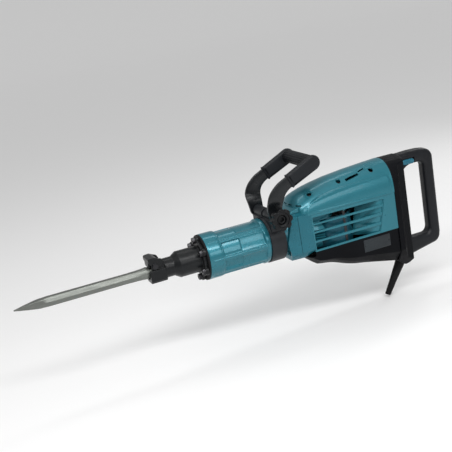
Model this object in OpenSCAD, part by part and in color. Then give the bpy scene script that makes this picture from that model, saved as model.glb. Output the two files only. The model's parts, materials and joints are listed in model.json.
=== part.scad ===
// Electric demolition hammer with a bull point chisel.
// The tool axis is the X axis: the chisel points to -X, the D-handle is at +X, +Z is up.
// The origin is on the tool axis at the middle of the turned front collar.

/* [Chisel] */
// Where the chisel's point is
point_x = -430; // [-450:1:-400]
// Where the four-sided point begins
point_start_x = -350; // [-370:1:-330]
// Width across flats of the hexagonal body
chisel_af = 23; // [22:0.5:25]
// Width across flats of the hexagonal shank
shank_af = 28.4; // [28:0.1:28.5]
// Rear end of the shank
shank_end_x = 12; // [8:1:13]
// Radius of the round neck behind the nose
chisel_neck_r = 14; // [13:0.5:14.4]
// Radius of the retaining collar
chisel_collar_r = 17; // [16.6:0.1:17.2]

/* [Tool holder] */
// Front face of the nose
nose_x = -103; // [-104:0.5:-102]
// Half width of the nose block
nose_half_w = 23; // [22.6:0.1:24]
// Radius of the neck behind the nose
neck_r = 24.4; // [24:0.1:26]
// Radius of the turned front collar
collar_r = 33; // [31:0.5:34]
// Length of the turned front collar
collar_len = 52; // [50:1:54]
// Front face of the flange
flange_x = 28; // [27:1:30]
// Radius of the flange bolt circle
flange_bolt_circle_r = 47; // [46:0.5:47.5]
// Number of flange bolts
flange_bolts = 6; // [6:1:6]

/* [Retainer] */
// Where the retainer's pins are along the tool
retainer_x = -88; // [-88.5:0.5:-87]
// How high the retainer's pins are
retainer_z = 17.5; // [17.5:0.5:18]
// Radius of the retainer's pins
retainer_pin_r = 4; // [3.5:0.5:4]

/* [Barrel] */
// Front face of the barrel
barrel_x = 40; // [39:1:41]
// Rear face of the barrel
barrel_end_x = 202; // [200:1:203]
// Radius over the barrel's ribs
barrel_r = 58; // [57:0.5:58.5]
// Depth of the deep pockets between ribs
pocket_depth = 5; // [3:0.5:6]
// Depth of the shallow pockets between ribs
step_depth = 2.2; // [1:0.1:2.6]

/* [Hammer mechanism] */
// Radius of the cylinder bore
bore_r = 22; // [21.5:0.5:22.5]
// Radial running clearance of the sliding pieces
slide_gap = 0.05; // [0.03:0.01:0.08]
// Where the crankshaft is along the tool
crank_x = 306; // [306:1:306]
// Crank radius, half the piston's stroke
crank_throw = 12; // [11:0.5:12]
// Connecting rod length between centres
rod_len = 66; // [66:1:68]
// Teeth of the crank gear
crank_teeth = 38; // [38:1:38]
// Teeth of the idler's pinion
idler_pinion_teeth = 13; // [13:1:13]
// Teeth of the idler gear
idler_teeth = 59; // [59:1:59]
// Teeth of the motor's pinion
motor_teeth = 13; // [13:1:13]
// Module of the slow gear pair
slow_module = 2; // [2:0.25:2]
// Module of the fast gear pair
fast_module = 1.25; // [1.25:0.25:1.25]

/* [Motor] */
// Radius of the armature core
armature_r = 26; // [25:0.5:26.4]
// Outer radius of the field stator
stator_r = 46; // [45:0.5:46]
// Radius of the cooling fan
fan_r = 42; // [38:0.5:43]
// Blades on the cooling fan
fan_blades = 12; // [8:1:14]

/* [Housings] */
// Half width of the gear housing and side covers
body_half_w = 62; // [61:0.5:63]
// Height of the seam between cowl and side covers
seam_z = 48; // [47:0.5:50]
// Height of the seam between side covers and lower housing
lower_seam_z = -50; // [-52:0.5:-48]
// Rear edge of the cowl and the side covers
rear_x = 561; // [558:1:564]
// Rear face of the rear housing
hand_x = 612; // [610:1:614]
// Wall of the moulded housings
wall = 3.5; // [3:0.5:4]

/* [D-handle] */
// Rear face of the D-handle
handle_x = 719; // [716:1:722]
// Half width of the D-handle
handle_half_w = 18; // [17:0.5:19]
// Front of the grip, where the fingers go
grip_front_x = 686; // [684:1:688]
// Top of the hand opening
hand_top_z = 95; // [94:0.5:96]
// Bottom of the hand opening
hand_bottom_z = -104; // [-106:1:-102]

/* [Side handle] */
// Where the clamp bolt is along the tool
clamp_x = 226; // [225:0.5:227]
// How high the clamp bolt is
clamp_z = 66; // [65.5:0.5:67]
// Radius of the clamp knob
knob_r = 28; // [26:0.5:29]
// Lobes on the clamp knob
knob_lobes = 8; // [6:1:10]
// Distance from the tool's middle plane to the middle of each upper arm
arm_y = 72; // [71:0.5:73]
// Thickness of the flat arms
arm_t = 8; // [7:0.5:8]
// Where the cross grip is along the tool
cross_x = 338; // [337:0.5:339]
// How high the cross grip is
cross_z = 180; // [179:0.5:181]
// Radius of the cross grip
cross_r = 17; // [15:0.5:17.5]

/* [Hidden] */
$fn = 64;
hull_fn = 32;
eps = 0.01;
shank_x = -81;                  // where the nose cavity ends and the hexagon begins
fit = 0.05;                     // gap between two pieces fixed to each other
neck_len_r = 54.7;              // gear housing neck under the clamp band
band_r = 59.5;                  // outside of the clamp band
liner_r = 27;                   // outside of the cylinder liner
bolt_r = 4;                     // shank of the flange and housing bolts
idler_x = crank_x + slow_module * (crank_teeth + idler_pinion_teeth) / 2;
motor_x = idler_x + fast_module * (idler_teeth + motor_teeth) / 2;
wrist_x = crank_x - crank_throw - rod_len;
barrel_ribs = [0, 67, 113, 180, 247, 293];      // middles of the barrel's pockets, from the top
pocket_half = [36, 18, 16, 33, 16, 18];         // half widths of the pockets, in degrees
cowl_screw_x = [332, 417, 513];
cowl_screw_y = 38;
cowl_screw_seat = [89, 100, 106];
guard_dir = 31.4;               // lean of the cord guard from straight down, towards the chisel
guard_root = [586.5, 0, -171];
shell_power = 2.3;              // roundness of the cowl's section

// Cowl sections from nose to rear: position, half width, height of the crown
cowl_stations = [[285, 30, 72], [287, 42, 77], [290, 50, 82], [295, 57, 88], [301, 60, 93],
                 [317, 61.5, 100], [338, 62, 106.5], [364, 62, 112.5], [403, 62, 119],
                 [462, 62, 125], [522, 62.5, 129], [561, 63, 131]];
// Lower housing sections from front to rear: position, height of the crease, of the underside
lower_stations = [[300, -58, -66], [312, -66, -79], [328, -76, -91], [395, -88, -108],
                  [440, -95, -120], [561, -116, -147]];

// ---- shared shapes ----

// Extrudes a Y-Z outline along X
module along_x(x0, x1) translate([x0, 0, 0]) rotate([90, 0, 90]) linear_extrude(x1 - x0) children();

// Extrudes an X-Z outline along Y
module along_y(y0, y1) translate([0, y1, 0]) rotate([90, 0, 0]) linear_extrude(y1 - y0) children();

// Extrudes an X-Y outline along Z
module along_z(z0, z1) translate([0, 0, z0]) linear_extrude(z1 - z0) children();

// Turns [position, radius] points about the X axis
module turned_x(points) rotate([0, 90, 0]) rotate_extrude() polygon([for (p = points) [p[1], p[0]]]);

// Turns [height, radius] points about an upright axis
module turned_z(x, points) translate([x, 0, 0]) rotate_extrude() polygon([for (p = points) [p[1], p[0]]]);

module rod_x(x0, x1, r) translate([x0, 0, 0]) rotate([0, 90, 0]) cylinder(h = x1 - x0, r = r);
module rod_y(x, z, y0, y1, r) translate([x, y1, z]) rotate([90, 0, 0]) cylinder(h = y1 - y0, r = r);
module rod_z(x, y, z0, z1, r) translate([x, y, z0]) cylinder(h = z1 - z0, r = r);
module block(low, high) translate(low) cube(high - low);
module both_sides() { children(); mirror([0, 1, 0]) children(); }
module hexagon(af) circle(r = af / 2 / cos(30), $fn = 6);

// A ring about an upright axis, as a bearing race
module ring_z(x, z0, z1, r_in, r_out) turned_z(x, [[z0, r_in], [z0, r_out], [z1, r_out], [z1, r_in]]);
module ring_x(x0, x1, r_in, r_out) turned_x([[x0, r_in], [x0, r_out], [x1, r_out], [x1, r_in]]);

// Copies of a feature around the tool axis, at angles from the top towards the near side
module around_x(angles) for (a = angles) rotate([a, 0, 0]) children();

// Two round ends joined by straight sides, in plan
module slot_plan(x0, x1, r) {
    translate([x0, 0]) circle(r);
    translate([x1, 0]) circle(r);
    translate([x0, -r]) square([x1 - x0, 2 * r]);
}

// Angle, from the start of an involute, at radius r
function involute_turn(r, base) = let (t = sqrt(max(0, pow(r / base, 2) - 1))) t * 180 / PI - atan(t);
function polar(r, a) = [r * cos(a), r * sin(a)];

// One gear tooth centred on angle 0; slack is the thinning that gives backlash
function tooth(teeth, mod, addendum, slack) =
    let (pitch_r = teeth * mod / 2, base = pitch_r * cos(20), tip = pitch_r + addendum * mod,
         root = pitch_r - 1.25 * mod, low = max(base, root), steps = 4,
         half = 90 / teeth - slack / pitch_r * 90 / PI + involute_turn(pitch_r, base))
    concat([polar(root, -half)],
           [for (i = [0:steps]) let (r = low + (tip - low) * i / steps)
               polar(r, -half + involute_turn(r, base))],
           [for (i = [steps:-1:0]) let (r = low + (tip - low) * i / steps)
               polar(r, half - involute_turn(r, base))],
           [polar(root, half)]);

module spur(teeth, mod, addendum, slack = 0.15) {
    one = tooth(teeth, mod, addendum, slack);
    polygon([for (k = [0:teeth - 1]) for (p = one)
        let (a = k * 360 / teeth) [p[0] * cos(a) - p[1] * sin(a), p[0] * sin(a) + p[1] * cos(a)]]);
}

// ---- chisel ----

module bull_point() color("#8f948c") {
    waist_x = -125;
    collar_x = -87;
    tip_half = 1;
    // four-sided point: two wedges crossed
    intersection() {
        along_y(-20, 20) polygon([[point_x, -tip_half], [point_start_x, -chisel_af / 2],
            [point_start_x, chisel_af / 2], [point_x, tip_half]]);
        along_z(-20, 20) polygon([[point_x, -tip_half], [point_start_x, -chisel_af / 2],
            [point_start_x, chisel_af / 2], [point_x, tip_half]]);
    }
    along_x(point_start_x - eps, -150) hexagon(chisel_af);
    turned_x([[-158, 0], [-150, 12.6], [waist_x, 12.3], [nose_x - 4, chisel_neck_r],
        [collar_x, chisel_neck_r], [collar_x, chisel_collar_r], [shank_x, chisel_collar_r],
        [shank_x, 0]]);
    along_x(shank_x - 1, shank_end_x) hexagon(shank_af);
}

// ---- front end ----

module tool_holder() color("#2a2b2d") difference() {
    union() {
        // lower jaw with bevelled edges
        along_x(nose_x, -62) polygon([[-nose_half_w, 7], [-nose_half_w, -19], [-18, -25.5],
            [18, -25.5], [nose_half_w, -19], [nose_half_w, 7]]);
        // middle wall between the retainer's ears
        along_y(-16.5, 16.5) union() {
            translate([retainer_x - 8, 0]) square([-54 - retainer_x, 20]);
            translate([retainer_x, 0]) square([-62 - retainer_x, 23]);
            translate([retainer_x, retainer_z]) circle(9);
        }
        turned_x([[-63, 0], [-63, neck_r], [-40, neck_r], [-collar_len / 2, collar_r],
            [flange_x, collar_r], [flange_x, 0]]);
        // flange with six lobes
        along_x(flange_x, 36) union() {
            circle(46.5);
            for (a = [30:60:330]) rotate(a) translate([flange_bolt_circle_r, 0]) circle(10.5);
        }
    }
    rod_x(nose_x - 1, shank_x, 17.6);
    along_x(shank_x - 1, shank_end_x + eps) hexagon(shank_af + 0.2);
    rod_x(shank_end_x, 37, 13 + slide_gap);
    around_x([0:60:300]) rod_x_at(flange_x - 1, 37, bolt_r + fit);
    both_sides() rod_y(retainer_x, retainer_z, 13.5, 17, retainer_pin_r + fit);
}

// A rod along X on the flange's bolt circle, at the top
module rod_x_at(x0, x1, r) translate([0, 0, flange_bolt_circle_r]) rod_x(x0, x1, r);

module retainer_pins() color("#55575a") both_sides() {
    rod_y(retainer_x, retainer_z, 14, 23.4, retainer_pin_r);
    rod_y(retainer_x, retainer_z, 23.3, 26, 7);
}

module tool_retainer() color("#2a2b2d") {
    ear_in = 17.2;
    ear_out = 23;
    front = nose_x;
    both_sides() difference() {
        union() {
            along_y(ear_in, ear_out) polygon([[front, 28], [front, 36], [-101, 39], [-88, 40],
                [-70, 32], [-66, 24], [-75, 16], [-92, 12]]);
            rod_y(retainer_x, retainer_z, ear_in, ear_out, 10);
        }
        rod_y(retainer_x, retainer_z, ear_in - 1, ear_out + 1, retainer_pin_r + slide_gap);
    }
    along_y(-ear_in - 1, ear_in + 1) polygon([[front, 30.5], [front, 36], [-101, 39], [-88, 40],
        [-80, 36.5], [-80, 30.5]]);
    // lip in front of the chisel's collar
    along_y(-15, 15) polygon([[front, 15.2], [front, 31], [front + 5.5, 31], [front + 5.5, 15.2]]);
}

module flange_bolts() color("#3a3b3e") around_x([0:60:300]) difference() {
    union() {
        rod_x_at(flange_x, 72, bolt_r);
        translate([0, 0, flange_bolt_circle_r]) along_x(flange_x - 8, flange_x) hexagon(14);
        rod_x_at(flange_x - 2, flange_x, 8.5);
    }
    rod_x_at(flange_x - 9, flange_x - 4, 3.2);
}

module flange_gasket() color("#1b1b1c") difference() {
    ring_x(36, barrel_x, 32, 57.5);
    around_x([0:60:300]) rod_x_at(35, barrel_x + 1, bolt_r + fit);
}

// Sector of a ring about the X axis, centred on the top
module sector(x0, x1, r0, r1, half) translate([x0, 0, 0]) rotate([0, 90, 0])
    rotate([0, 0, 180 - half]) rotate_extrude(angle = 2 * half)
    translate([r0, 0]) square([r1 - r0, x1 - x0]);

module barrel() color("#1c7f94") difference() {
    union() {
        turned_x([[barrel_x, 0], [barrel_x, barrel_r], [72, barrel_r], [78, barrel_r - 1],
            [188, barrel_r - 1], [190, barrel_r], [barrel_end_x, barrel_r], [barrel_end_x, 0]]);
        // raised ribs beside the pockets
        for (a = [42, 90, 140]) for (s = [-1, 1]) rotate([s * a, 0, 0])
            block([48, -2, barrel_r - 4], [190, 2, barrel_r + 0.6]);
    }
    for (i = [0:5]) rotate([barrel_ribs[i], 0, 0]) {
        sector(80, 127, barrel_r - pocket_depth, barrel_r + 3, pocket_half[i]);
        sector(126.9, 188, barrel_r - step_depth, barrel_r + 3, pocket_half[i] - 1);
    }
    rod_x(barrel_x - 1, barrel_end_x + 1, liner_r + fit);
    around_x([0:60:300]) rod_x_at(barrel_x - 1, 73, bolt_r + fit);
}

// ---- hammer mechanism ----

module guide_sleeve() color("#7c7f83") difference() {
    rod_x(barrel_x + eps, 78, liner_r);
    rod_x(barrel_x - 1, 57, 13 + slide_gap);
    rod_x(56, 79, 19.6);
}

module cylinder_liner() color("#9a9da1") ring_x(78 + eps, 276, bore_r, liner_r);

module impact_bolt() color("#8b8e92") turned_x([[16, 0], [16, 10], [18, 13], [60, 13], [60, 18.8],
    [74, 18.8], [74, 13], [93, 13], [94, 12], [94, 0]]);

// Groove for a seal ring of section radius 2, in a slider of the bore's radius
function grooved(x0, x1, ring_at) = let (r = bore_r - slide_gap) [[x0, 0], [x0, r - 1], [x0 + 1, r],
    [ring_at - 2.4, r], [ring_at - 2.4, r - 4.1], [ring_at + 2.4, r - 4.1], [ring_at + 2.4, r],
    [x1 - 1, r], [x1, r - 1], [x1, 0]];
module seal_ring(x) translate([x, 0, 0]) rotate([0, 90, 0]) rotate_extrude()
    translate([bore_r - slide_gap - 2.05, 0]) circle(2, $fn = 24);

module striker() color("#a3a6aa") turned_x(grooved(96, 150, 112));
module striker_ring() color("#141414") seal_ring(112);

piston_x = wrist_x - 46;        // front face of the piston
module piston() color("#b0b3b6") difference() {
    turned_x(grooved(piston_x, wrist_x + 10, piston_x + 7));
    rod_x(wrist_x - 32, wrist_x + 11, 19.7);
}
module piston_ring() color("#141414") seal_ring(piston_x + 7);

module connecting_rod() color("#8b8e92") difference() {
    union() {
        rod_z(wrist_x, 0, -6, 6, 6.8);
        rod_z(crank_x - crank_throw, 0, -6, 6, 12);
        block([wrist_x, -3.6, -4], [crank_x - crank_throw, 3.6, 4]);
    }
    rod_z(wrist_x, 0, -7, 7, 3 + fit);
    rod_z(crank_x - crank_throw, 0, -7, 7, 6 + slide_gap);
}
module wrist_pin() color("#a3a6aa") rod_z(wrist_x, 0, -9, 9, 3);

module crankshaft() color("#8b8e92") {
    rod_z(crank_x - crank_throw, 0, -9, 10.5, 6);
    rod_z(crank_x, 0, 10, 18, 22);
    rod_z(crank_x, 0, 18, 47.8, 10);
    rod_z(crank_x, 0, 47.7, 57, 8);
}
module crank_gear() color("#7c7f83") difference() {
    translate([crank_x, 0, 0]) along_z(34, 46) spur(crank_teeth, slow_module, 0.85);
    rod_z(crank_x, 0, 33, 47, 10 + fit);
    for (a = [0:60:300]) translate([crank_x, 0, 0]) rotate([0, 0, a]) rod_z(22, 0, 33, 47, 5);
}
module crank_bearings() color("#b9bcc0") {
    ring_z(crank_x, 19, 30, 10 + slide_gap, 20);
    ring_z(crank_x, 48.3, 57, 8 + slide_gap, 15);
}

module idler_shaft() color("#8b8e92") {
    rod_z(idler_x, 0, 26, 33.6, 6);
    translate([idler_x, 0, 0]) along_z(33.5, 46.5) spur(idler_pinion_teeth, slow_module, 1);
    rod_z(idler_x, 0, 46.4, 72, 7);
    rod_z(idler_x, 0, 71.9, 77, 6);
}
module idler_gear() color("#7c7f83") difference() {
    translate([idler_x, 0, 0]) along_z(60, 69) spur(idler_teeth, fast_module, 0.85);
    rod_z(idler_x, 0, 59, 70, 7 + fit);
    for (a = [0:60:300]) translate([idler_x, 0, 0]) rotate([0, 0, a]) rod_z(20, 0, 59, 70, 5);
}
module idler_bearings() color("#b9bcc0") {
    ring_z(idler_x, 26, 31.4, 6 + slide_gap, 12);
    ring_z(idler_x, 72.2, 77, 6 + slide_gap, 12);
}

// ---- motor ----

module armature_shaft() color("#9a9da1") {
    rod_z(motor_x, 0, -93, 44, 7);
    rod_z(motor_x, 0, 43.9, 58, 6);
    translate([motor_x, 0, 0]) along_z(57.9, 71) spur(motor_teeth, fast_module, 1);
}
module armature_core() color("#77502f") difference() {
    union() {
        rod_z(motor_x, 0, -48, -4, armature_r);
        ring_z(motor_x, -60, -47.9, 9, 22);
        ring_z(motor_x, -4.1, 8, 9, 22);
    }
    rod_z(motor_x, 0, -61, 9, 7 + fit);
    for (a = [0:30:330]) translate([motor_x, 0, 0]) rotate([0, 0, a])
        block([armature_r - 3, -1, -49], [armature_r + 1, 1, -3]);
}
module commutator() color("#b87333") difference() {
    rod_z(motor_x, 0, -78, -62, 14);
    rod_z(motor_x, 0, -79, -61, 7 + fit);
    for (a = [0:20:340]) translate([motor_x, 0, 0]) rotate([0, 0, a])
        block([12.5, -0.4, -77], [15, 0.4, -61]);
}
module cooling_fan() color("#2f3134") difference() {
    union() {
        rod_z(motor_x, 0, 11, 13, fan_r);
        rod_z(motor_x, 0, 11, 22, 12);
        for (i = [0:fan_blades - 1]) translate([motor_x, 0, 0]) rotate([0, 0, i * 360 / fan_blades])
            block([11, -1, 12], [fan_r - 1, 1, 22]);
    }
    rod_z(motor_x, 0, 10, 23, 7 + fit);
}
module motor_bearings() color("#b9bcc0") {
    ring_z(motor_x, -90.9, -82, 7 + slide_gap, 16);
    ring_z(motor_x, 47.6, 57, 6 + slide_gap, 15);
}
module field_stator() color("#6a5a4c") {
    ring_z(motor_x, -50, -2, armature_r + 0.7, stator_r);
    ring_z(motor_x, -60, -49.9, 30, 43);
    ring_z(motor_x, -2.1, 7, 30, 43);
}
module motor_housing() color("#16606f") difference() {
    union() {
        rod_z(motor_x, 0, -82, 23.5, 50);
        rod_z(motor_x, 0, -94, -81.9, 32);
    }
    rod_z(motor_x, 0, -80, -49.9, stator_r - 2.5);
    rod_z(motor_x, 0, -50, 24, stator_r + fit);
    rod_z(motor_x, 0, -91, -79, 16 + fit);
    rod_z(motor_x, 0, -95, -90, 9);
    // windows for the brush holders
    block([motor_x - 8 - fit, -51, -79 - fit], [motor_x + 8 + fit, 51, -61 + fit]);
}
module brush_holders() color("#c9a24a") both_sides() difference() {
    block([motor_x - 8, 17, -79], [motor_x + 8, 49, -61]);
    block([motor_x - 5, 16, -76], [motor_x + 5, 45, -64]);
}
module carbon_brushes() color("#222222") both_sides() difference() {
    block([motor_x - 5 + fit, 13, -76 + fit], [motor_x + 5 - fit, 40, -64 - fit]);
    rod_z(motor_x, 0, -77, -63, 14.2);
}

// ---- gear housing ----

module gear_housing() color("#1c7f94") difference() {
    union() {
        rod_x(barrel_end_x, 262, neck_len_r);
        // block seen from the side: slanting front edge, bevelled lower rear corner
        intersection() {
            along_y(-body_half_w, body_half_w) polygon([[268, 60], [246, -8], [254, -58], [290, -60],
                [317, -46], [317, 60]]);
            along_x(240, 320) polygon([[-body_half_w, -42], [-48, -60], [48, -60],
                [body_half_w, -42], [body_half_w, 52], [52, 60], [-52, 60], [-body_half_w, 52]]);
        }
        block([316, -46, -44], [346, 46, 24]);
        along_z(23.9, 57) slot_plan(crank_x, idler_x, 46);
    }
    rod_x(barrel_end_x - 1, 276, liner_r + fit);
    // crank chamber and the way in from the liner
    rod_z(crank_x, 0, -14, 18.7, 28);
    rod_x(275, crank_x, bore_r);
    rod_z(crank_x, 0, -46, -15, 30);
    rod_z(crank_x, 0, 18.6, 30.1, 20 + fit);
    rod_z(crank_x, 0, 30, 32, 17);
    // chamber of the slow gears, open upwards
    rod_z(crank_x, 0, 31.4, 48, 40.5);
    rod_z(idler_x, 0, 31.4, 48, 17);
    rod_z(idler_x, 0, 25.9, 32, 12 + fit);
    // seat of the gear plate and its arm, room for the motor's shaft
    along_z(47, 61) slot_plan(crank_x, idler_x, 43 + fit);
    along_z(46.9, 61) slot_plan(idler_x, motor_x, 19 + fit);
    rod_z(motor_x, 0, 23, 61, 10);
    for (y = [-50, 50]) for (z = [-36, 42]) translate([0, y, z]) {
        rod_x(240, 262, 8);
        rod_x(240, 300, bolt_r + fit);
    }
}
module housing_bolts() color("#3a3b3e") for (y = [-50, 50]) for (z = [-36, 42])
    translate([0, y, z]) difference() {
        union() {
            rod_x(261.9, 299, bolt_r);
            rod_x(254, 262, 6.5);
        }
        along_x(253, 258) hexagon(6);
    }

// Plan of the bearing plate that reaches back over the motor
module plate_plan(r) {
    slot_plan(crank_x, idler_x, r);
    slot_plan(idler_x, motor_x, 19);
}
module gear_plate() color("#9da1a6") difference() {
    along_z(47 + eps, 57.4) plate_plan(43);
    rod_z(crank_x, 0, 46, 48.4, 11.5);
    rod_z(crank_x, 0, 48.2, 58, 15 + fit);
    rod_z(idler_x, 0, 46, 58, 9);
    rod_z(motor_x, 0, 46, 47.6, 9);
    rod_z(motor_x, 0, 47.5, 58, 15 + fit);
}
module gear_cover() color("#9da1a6") difference() {
    along_z(57.4 + eps, 81) union() {
        translate([idler_x, 0]) circle(42.5);
        slot_plan(idler_x, motor_x, 19);
    }
    rod_z(idler_x, 0, 57, 72, 39.5);
    rod_z(motor_x, 0, 57, 72, 11.5);
    rod_z(idler_x, 0, 71, 72.1, 8.5);
    rod_z(idler_x, 0, 72 + 0.1, 77.1, 12 + fit);
}

// ---- housings ----

// Rounded half of a section: from one side over the crown to the other
function crown(half_w, top, base, n = 10) = [for (i = [0:2 * n]) let (a = 180 * i / (2 * n),
    c = cos(a), s = sin(a), k = 2 / shell_power)
    [-half_w * sign(c) * pow(abs(c), k), base + (top - base) * pow(abs(s), k)]];

module cowl_shape(inset, base) hull() for (s = cowl_stations)
    translate([inset * max(0, (301 - s[0]) / 16), 0, 0]) along_x(s[0], s[0] + 0.1)
        polygon(crown(s[1] - inset, s[2] - inset, base));

module top_cowl() color("#1c7f94") difference() {
    union() {
        difference() {
            cowl_shape(0, seam_z);
            cowl_shape(wall, seam_z - 1);
        }
        // ledge over the front of the gear housing
        along_y(-50, 50) polygon([[266, 60.1], [269, 65], [292, 71], [292, 60.1]]);
        // bosses under the screws
        intersection() {
            cowl_shape(1, seam_z);
            both_sides() for (i = [0:2])
                rod_z(cowl_screw_x[i], cowl_screw_y, cowl_screw_seat[i] - 4, 126, 8.5);
        }
    }
    block([280, -70, seam_z - 2], [317.2, 70, 60.1]);
    both_sides() {
        for (i = [0:2]) {
            rod_z(cowl_screw_x[i], cowl_screw_y, cowl_screw_seat[i], 130, 5.5);
            rod_z(cowl_screw_x[i], cowl_screw_y, 78, 130, 2.6);
        }
        // air slots high on the shoulder
        block([439, 36, 106], [476, 60, 110]);
        block([480, 30, 115], [497, 52, 118]);
        block([280, 5, 73], [296, 22, 76]);
        block([280, 35, 73], [300, 52, 76]);
    }
    block([rear_x, -70, 0], [rear_x + 5, 70, 140]);
}
module cowl_screws() color("#2a2b2d") both_sides() for (i = [0:2]) difference() {
    translate([cowl_screw_x[i], cowl_screw_y, cowl_screw_seat[i]]) {
        translate([0, 0, eps]) cylinder(h = 4, r = 5);
        translate([0, 0, -10]) cylinder(h = 10.1, r = 2.5);
    }
    translate([cowl_screw_x[i], cowl_screw_y, cowl_screw_seat[i] + 1.5]) linear_extrude(4) hexagon(4);
}

// Vent rows: lower edge, upper edge
vent_rows = [[-45, -26], [-21, -2], [3, 20], [24, 40]];
module side_cover() difference() {
    union() {
        along_y(57, body_half_w) polygon([[317.2, seam_z - fit], [317.2, lower_seam_z + fit],
            [rear_x, lower_seam_z + fit], [rear_x, seam_z - fit]]);
        // return edges that close the cover above and below
        block([317.2, 47, seam_z - 4], [rear_x, 58, seam_z - fit]);
    }
    for (v = vent_rows) along_y(56, body_half_w + 1) polygon([[325, v[0]], [325, v[1]],
        [478 + v[1] * 0.24, v[1]], [478 + v[0] * 0.24, v[0]]]);
    // groove at the rear of the window
    along_y(body_half_w - 1.2, body_half_w + 1) polygon([[504, -49], [506, -49], [528, 36], [526, 36]]);
}
module side_cover_near() color("#1c7f94") mirror([0, 1, 0]) side_cover();
module side_cover_far() color("#1c7f94") side_cover();

module lower_shape(inset, top) hull() for (s = lower_stations)
    translate([s[0] + (s[0] < 301 ? inset : 0), 0, 0]) along_x(0, 0.1)
        polygon([[-60 + inset, top], [-60 + inset, s[1] + inset / 3], [-34 + inset / 2, s[2] + inset],
            [34 - inset / 2, s[2] + inset], [60 - inset, s[1] + inset / 3], [60 - inset, top]]);
module lower_housing() color("#26272a") difference() {
    lower_shape(0, lower_seam_z);
    translate([0.2, 0, 0]) lower_shape(wall, lower_seam_z + 1);
    block([290, -70, -62], [317.3, 70, -40]);
    block([290, -47, -62], [347, 47, -40]);
    block([rear_x, -70, -160], [rear_x + 5, 70, 0]);
}
module name_plate() color("#50565a") difference() {
    block([455, -60.8, -90], [533, -60, -57]);
    for (x = [459, 529]) rod_y(x, -73.5, -62, -59, 1.2);
}

cover_low = [hand_x - 13, -30, -92];       // the rear cover's well behind the hand opening
cover_high = [hand_x + 2, 30, 48];
rear_section = concat(crown(63, 131, seam_z), [[63, -112], [52, -132], [28, -168], [-28, -168],
    [-52, -132], [-63, -112]]);
module rear_side(inset) polygon([[rear_x - 1, 140], [hand_x - inset, 140],
    [hand_x - inset, -156 + inset], [602, -165 + inset], [592, -168 + inset], [582, -164 + inset],
    [rear_x + 5, -150 + inset], [rear_x - 1, -147 + inset]]);
// Plan of one side: a wide rim that steps in towards the hand opening
module rear_plan(inset) polygon([for (s = [1, -1]) for (p = s > 0
    ? [[rear_x - 1, 63], [576, 63], [590, 44], [hand_x, 38]]
    : [[hand_x, 38], [590, 44], [576, 63], [rear_x - 1, 63]]) [p[0] - (p[0] > rear_x ? inset : 0),
        s * (p[1] - inset)]]);
module rear_housing() color("#26272a") difference() {
    intersection() {
        along_x(rear_x + eps, hand_x) polygon(rear_section);
        along_y(-70, 70) rear_side(0);
        along_z(-200, 200) rear_plan(0);
    }
    intersection() {
        along_x(rear_x - 1, hand_x - wall) polygon([for (p = rear_section)
            [p[0] * (1 - wall / 63), p[1] - sign(p[1]) * wall]]);
        along_y(-70, 70) rear_side(wall);
        along_z(-200, 200) rear_plan(wall);
    }
    block([cover_low[0], cover_low[1], cover_low[2]], cover_high);
    on_guard() translate([0, 0, -30]) cylinder(h = 60, r = 13 + fit);
}
module rear_cover() color("#1d1e20") difference() {
    block(cover_low + [0, fit, fit], cover_high - [0, fit, fit]);
    block(cover_low + [-1, 3, 3], cover_high - [6, 3, 3]);
    for (z = [22:7:36]) block([hand_x - 8, -22, z], [hand_x + 3, 22, z + 3]);
    for (y = [-9, 9]) translate([0, y, 14]) rod_x(hand_x - 12, hand_x + 3, 2.6);
    translate([0, 0, -40]) rod_x(hand_x - 12, hand_x + 3, 3.5 + slide_gap);
}
module indicator_lamps() color("#a83a2c") for (y = [-9, 9]) translate([hand_x, y, 14]) {
    rod_x(-5, 2.4, 2.5);
    translate([1.6, 0, 0]) sphere(2.3, $fn = 32);
}
module speed_dial() color("#3c4045") translate([hand_x, 0, -40]) difference() {
    union() {
        rod_x(2.2, 8, 14);
        rod_x(-10, 2.3, 3.5);
    }
    for (a = [0:20:340]) rotate([a, 0, 0]) translate([0, 0, 14.6]) rod_x(1, 9, 1.1);
    block([7, -1, 4], [9, 1, 12]);
}
module speed_controller() color("#39505a") difference() {
    block([482, -34, -44], [548, 34, 4]);
    for (y = [-28, 28]) for (x = [488, 542]) rod_z(x, y, -45, 5, 2.2);
}
module switch_module() color("#303236") union() {
    block([566, -13, 82], [600, 13, 112]);
    block([599, -5, 98], [606, 5, 106]);
    for (y = [-8, 0, 8]) block([572, y - 1.5, 74], [578, y + 1.5, 83]);
}

// ---- D-handle ----

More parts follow.
